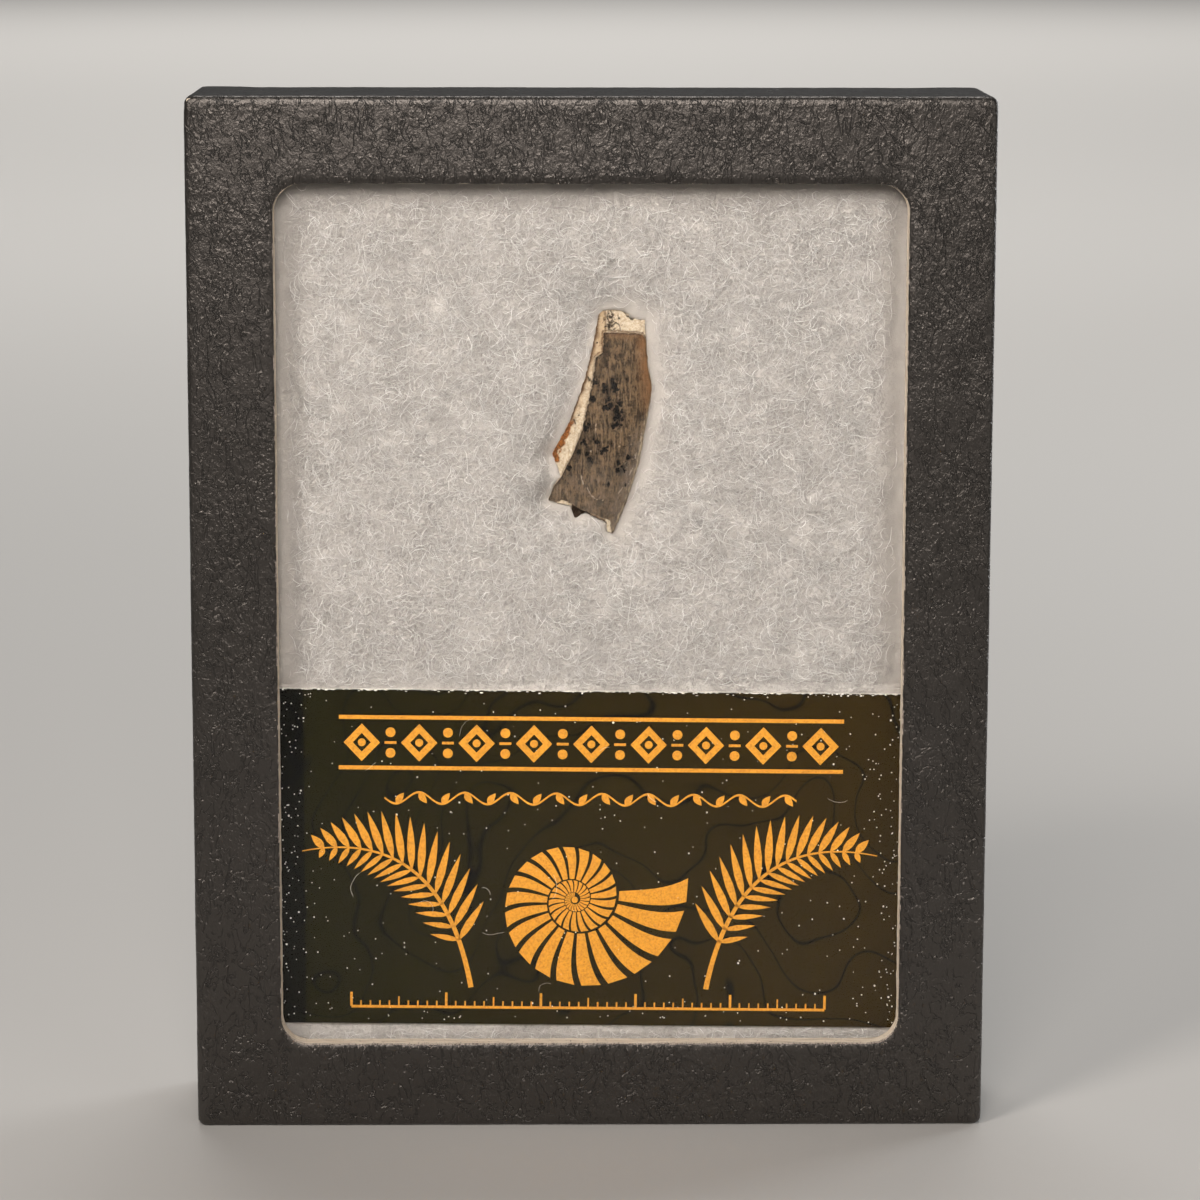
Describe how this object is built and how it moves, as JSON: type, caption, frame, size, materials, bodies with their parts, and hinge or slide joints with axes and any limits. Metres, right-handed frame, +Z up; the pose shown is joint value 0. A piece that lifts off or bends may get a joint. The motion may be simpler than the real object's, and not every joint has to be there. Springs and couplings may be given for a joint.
{
  "type": "fossil tooth display case",
  "caption": "Small upright display case with a glazed lid over soft batting that holds a broken shard of a fossil tooth above a printed card.",
  "frame": {"origin": "centre of the case's footprint, on the surface that it stands on", "axes": "+Z up along the case's height, -Y out of the window, +X to the right as seen from the front"},
  "size_m": [0.0836, 0.019, 0.108],
  "materials": {
    "fossil_tooth": "satin streaked enamel with dull cream dentine at the breaks",
    "polyester_batting": "soft loose fibres",
    "printed_card": "semi-gloss dark print with golden ornament",
    "window_glass": "clear polished pane",
    "lid_chipboard": "raw cut board",
    "embossed_paper": "black leather-grain embossed paper",
    "tray_chipboard": "raw board",
    "tray_paper": "matte black paper",
    "pin_steel": "bright plated steel"
  },
  "bodies": {
    "root": {"tooth_shard": "fossil_tooth", "fibre_batting": "polyester_batting", "label_card": "printed_card", "window_glass": "window_glass", "lid_board": "lid_chipboard", "lid_cover_paper": "embossed_paper", "tray_board": "tray_chipboard", "tray_cover_paper": "tray_paper", "pin_left": "pin_steel", "pin_right": "pin_steel"}
  },
  "joints": []
}
